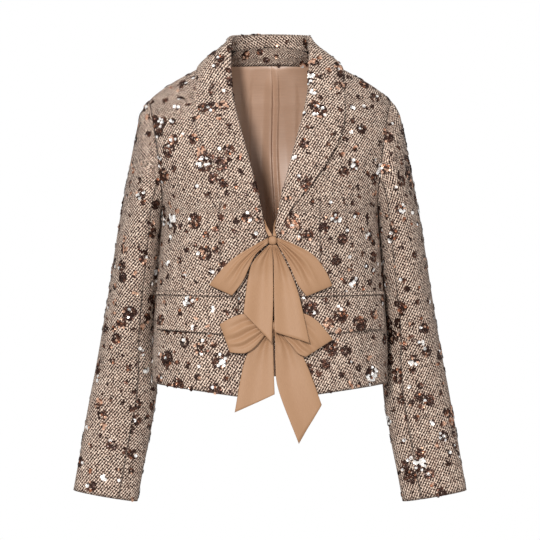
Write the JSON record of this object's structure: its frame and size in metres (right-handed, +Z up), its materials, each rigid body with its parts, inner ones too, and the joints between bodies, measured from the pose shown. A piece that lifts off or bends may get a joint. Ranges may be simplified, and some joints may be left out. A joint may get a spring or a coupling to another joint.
{
  "type": "cropped blazer",
  "caption": "Cropped tweed blazer with a shawl collar, sequin trim, flap pockets, long two-piece sleeves and two satin ribbon bows tied at the front, filled out as if worn",
  "frame": {"origin": "the middle of the line between the two side-neck points, where the wearer's shoulders hold the jacket", "axes": "+Z up along the back, front of the jacket towards -Y, +X towards the wearer's left"},
  "size_m": [0.612, 0.2372, 0.7305],
  "materials": {
    "sequin_tweed": "chunky woven tweed in cream and brown yarns, sewn with bronze, copper, rose and white sequins",
    "ribbon_satin": "smooth satin ribbon with a soft sheen",
    "body_lining": "plain satin lining"
  },
  "bodies": {
    "root": {"back": "sequin_tweed", "back_lining": "body_lining", "back_neck_facing": "sequin_tweed", "bow_lower_knot": "ribbon_satin", "bow_lower_loop_left": "ribbon_satin", "bow_lower_loop_right": "ribbon_satin", "bow_lower_tail_left": "ribbon_satin", "bow_lower_tail_right": "ribbon_satin", "bow_lower_tie_left": "ribbon_satin", "bow_lower_tie_right": "ribbon_satin", "bow_upper_knot": "ribbon_satin", "bow_upper_loop_left": "ribbon_satin", "bow_upper_loop_right": "ribbon_satin", "bow_upper_tail_left": "ribbon_satin", "bow_upper_tail_right": "ribbon_satin", "bow_upper_tie_left": "ribbon_satin", "bow_upper_tie_right": "ribbon_satin", "collar_left": "sequin_tweed", "collar_right": "sequin_tweed", "front_left": "sequin_tweed", "front_right": "sequin_tweed", "pocket_flap_left": "sequin_tweed", "pocket_flap_right": "sequin_tweed", "pocket_welt_left": "sequin_tweed", "pocket_welt_right": "sequin_tweed", "sleeve_under_left": "sequin_tweed", "sleeve_under_right": "sequin_tweed", "sleeve_upper_left": "sequin_tweed", "sleeve_upper_right": "sequin_tweed"}
  },
  "joints": []
}
